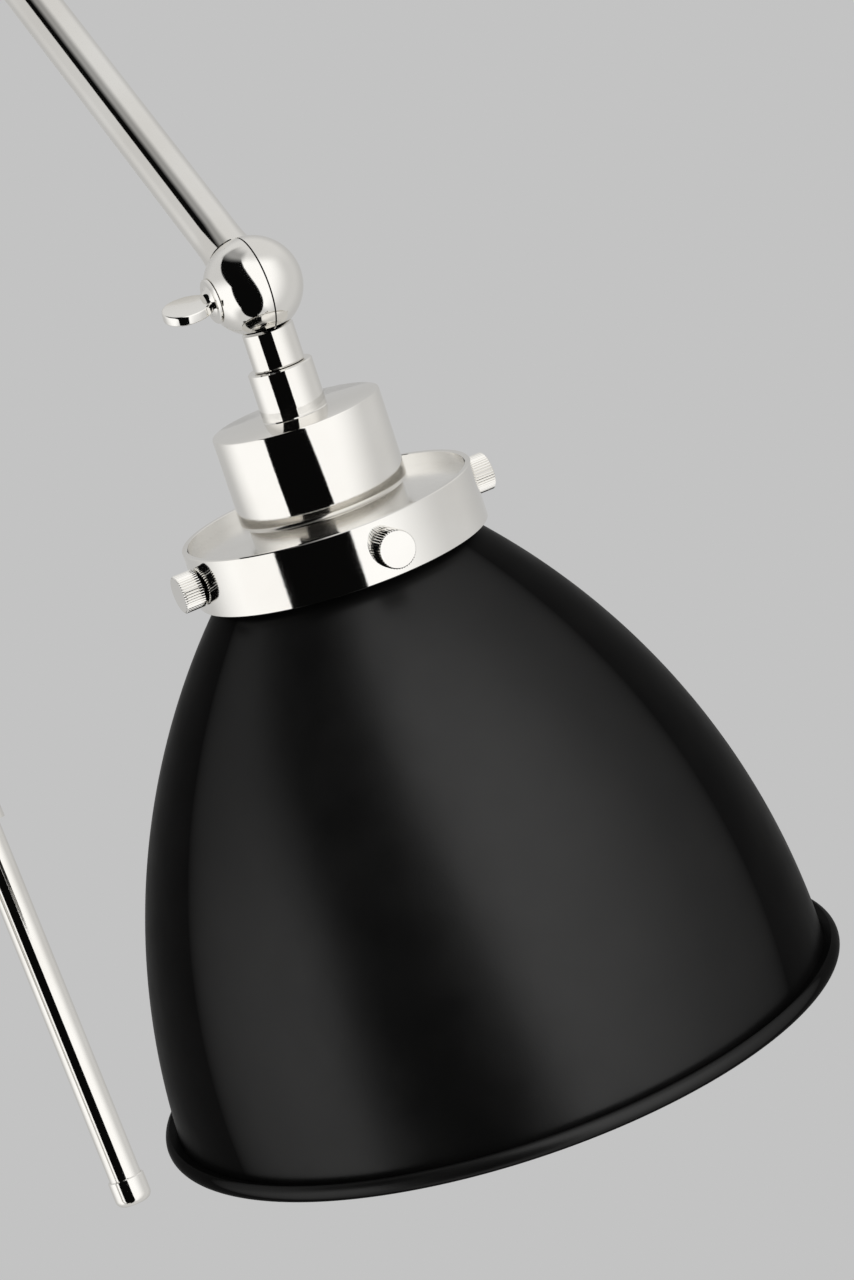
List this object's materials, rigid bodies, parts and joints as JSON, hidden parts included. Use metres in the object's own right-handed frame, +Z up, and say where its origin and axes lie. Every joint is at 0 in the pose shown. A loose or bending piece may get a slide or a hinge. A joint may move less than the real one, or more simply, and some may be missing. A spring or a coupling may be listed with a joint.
{
  "type": "adjustable arm floor lamp",
  "caption": "Floor lamp with a weighted round base, swivelling stem-top ball joint, two jointed arms and a tilting dome shade held by thumbscrews.",
  "frame": {"origin": "centre of the base's underside, on the floor", "axes": "+Z up along the stem; the shade hangs towards -Y and +X at rest"},
  "size_m": [0.5791, 0.7275, 1.5915],
  "materials": {
    "polished_nickel": "mirror polished nickel plate",
    "matte_black": "matte black outside, white enamel inside",
    "cast_iron": "black painted casting",
    "felt_pad": "pressed felt",
    "zinc_steel": "zinc plated",
    "black_rubber": "moulded",
    "black_fibre": "matt fibre",
    "wire_jacket": "matt",
    "white_ceramic": "glazed",
    "lamp_brass": "bright"
  },
  "bodies": {
    "base": {"base_cover": "polished_nickel", "base_weight": "cast_iron", "base_pad": "felt_pad", "base_tie_nipple": "zinc_steel", "base_tie_washer": "zinc_steel", "base_tie_nut": "zinc_steel", "cord_grommet": "black_rubber", "stem_foot_collar": "polished_nickel", "stem_foot_plug": "zinc_steel", "stem_tube_lower": "polished_nickel", "stem_tube_upper": "polished_nickel", "stem_coupler": "zinc_steel", "stem_split_ring": "polished_nickel", "stem_head_collar": "polished_nickel"},
    "swivel_lock": {"swivel_lock_screw": "polished_nickel"},
    "stem_swivel": {"post_ball_lower_half": "polished_nickel", "spindle_nut": "zinc_steel"},
    "arm_tilt": {"post_ball_saddle_half": "polished_nickel", "post_friction_washer": "black_fibre"},
    "post_wing": {"post_wing_screw": "polished_nickel"},
    "lower_arm": {"arm_saddle": "polished_nickel", "saddle_grub_screws": "zinc_steel", "lower_arm_tube": "polished_nickel", "tail_cap": "polished_nickel", "lower_arm_wire": "wire_jacket", "elbow_ball_lower_half": "polished_nickel"},
    "saddle_lock": {"saddle_thumbscrew": "polished_nickel"},
    "upper_arm": {"elbow_ball_upper_half": "polished_nickel", "elbow_friction_washer": "black_fibre", "upper_arm_tube": "polished_nickel", "upper_arm_wire": "wire_jacket", "head_ball_arm_half": "polished_nickel"},
    "elbow_wing": {"elbow_wing_screw": "polished_nickel"},
    "head": {"head_ball_neck_half": "polished_nickel", "head_friction_washer": "black_fibre", "neck_collar": "polished_nickel", "neck_nut": "zinc_steel"},
    "head_wing": {"head_wing_screw": "polished_nickel"},
    "shade_holder": {"neck_sleeve": "polished_nickel", "socket_cup": "polished_nickel", "fitter_plate": "polished_nickel", "fitter_ring": "polished_nickel", "lampholder_body": "white_ceramic", "lampholder_shell": "lamp_brass", "lampholder_contact": "lamp_brass", "lampholder_terminals": "lamp_brass", "shade": "matte_black"},
    "thumbscrew_1": {"shade_thumbscrew_1": "polished_nickel"},
    "thumbscrew_2": {"shade_thumbscrew_2": "polished_nickel"},
    "thumbscrew_3": {"shade_thumbscrew_3": "polished_nickel"},
    "thumbscrew_4": {"shade_thumbscrew_4": "polished_nickel"}
  },
  "joints": [
    {"name": "stem_turn", "type": "hinge", "parent": "base", "child": "stem_swivel", "pos_m": [0, 0, 0.885], "axis": [0, 0, 1], "range_deg": [-170, 170]},
    {"name": "swivel_lock_turn", "type": "hinge", "parent": "base", "child": "swivel_lock", "pos_m": [0, 0, 0.8495], "axis": [-0.279, 0.9603, 0], "range_deg": [0, 540]},
    {"name": "arm_tilt_turn", "type": "hinge", "parent": "stem_swivel", "child": "arm_tilt", "pos_m": [0, 0, 0.885], "axis": [-0.279, 0.9603, 0], "range_deg": [-35, 23]},
    {"name": "post_wing_turn", "type": "hinge", "parent": "arm_tilt", "child": "post_wing", "pos_m": [0, 0, 0.885], "axis": [0.279, -0.9603, 0], "range_deg": [0, 270]},
    {"name": "lower_arm_swing", "type": "hinge", "parent": "arm_tilt", "child": "lower_arm", "pos_m": [0.02642, 0.00768, 0.89696], "axis": [0.8806, 0.2559, 0.3987], "range_deg": [-60, 60]},
    {"name": "saddle_lock_turn", "type": "hinge", "parent": "lower_arm", "child": "saddle_lock", "pos_m": [0.01629, 0.00473, 0.89238], "axis": [0.3025, -0.9514, -0.0576], "range_deg": [0, 540]},
    {"name": "elbow_bend", "type": "hinge", "parent": "lower_arm", "child": "upper_arm", "pos_m": [-0.24269, -0.11876, 1.57242], "axis": [0.8806, 0.2559, 0.3987], "range_deg": [-130, 2]},
    {"name": "elbow_wing_turn", "type": "hinge", "parent": "upper_arm", "child": "elbow_wing", "pos_m": [-0.24269, -0.11876, 1.57242], "axis": [-0.8806, -0.2559, -0.3987], "range_deg": [0, 270]},
    {"name": "head_tilt", "type": "hinge", "parent": "upper_arm", "child": "head", "pos_m": [0.15706, -0.55877, 0.9719], "axis": [0.8806, 0.2559, 0.3987], "range_deg": [-120, 45]},
    {"name": "head_wing_turn", "type": "hinge", "parent": "head", "child": "head_wing", "pos_m": [0.15706, -0.55877, 0.9719], "axis": [-0.8806, -0.2559, -0.3987], "range_deg": [0, 270]},
    {"name": "shade_turn", "type": "hinge", "parent": "head", "child": "shade_holder", "pos_m": [0.15706, -0.55877, 0.9719], "axis": [0.2983, 0.3544, -0.8862], "range_deg": [-160, 160]},
    {"name": "thumbscrew_1_turn", "type": "hinge", "parent": "shade_holder", "child": "thumbscrew_1", "pos_m": [0.17699, -0.53509, 0.9127], "axis": [0.8806, 0.2559, 0.3987], "range_deg": [0, 900]},
    {"name": "thumbscrew_2_turn", "type": "hinge", "parent": "shade_holder", "child": "thumbscrew_2", "pos_m": [0.17699, -0.53509, 0.9127], "axis": [0.3681, -0.8994, -0.2358], "range_deg": [0, 900]},
    {"name": "thumbscrew_3_turn", "type": "hinge", "parent": "shade_holder", "child": "thumbscrew_3", "pos_m": [0.17699, -0.53509, 0.9127], "axis": [-0.8806, -0.2559, -0.3987], "range_deg": [0, 900]},
    {"name": "thumbscrew_4_turn", "type": "hinge", "parent": "shade_holder", "child": "thumbscrew_4", "pos_m": [0.17699, -0.53509, 0.9127], "axis": [-0.3681, 0.8994, 0.2358], "range_deg": [0, 900]}
  ]
}
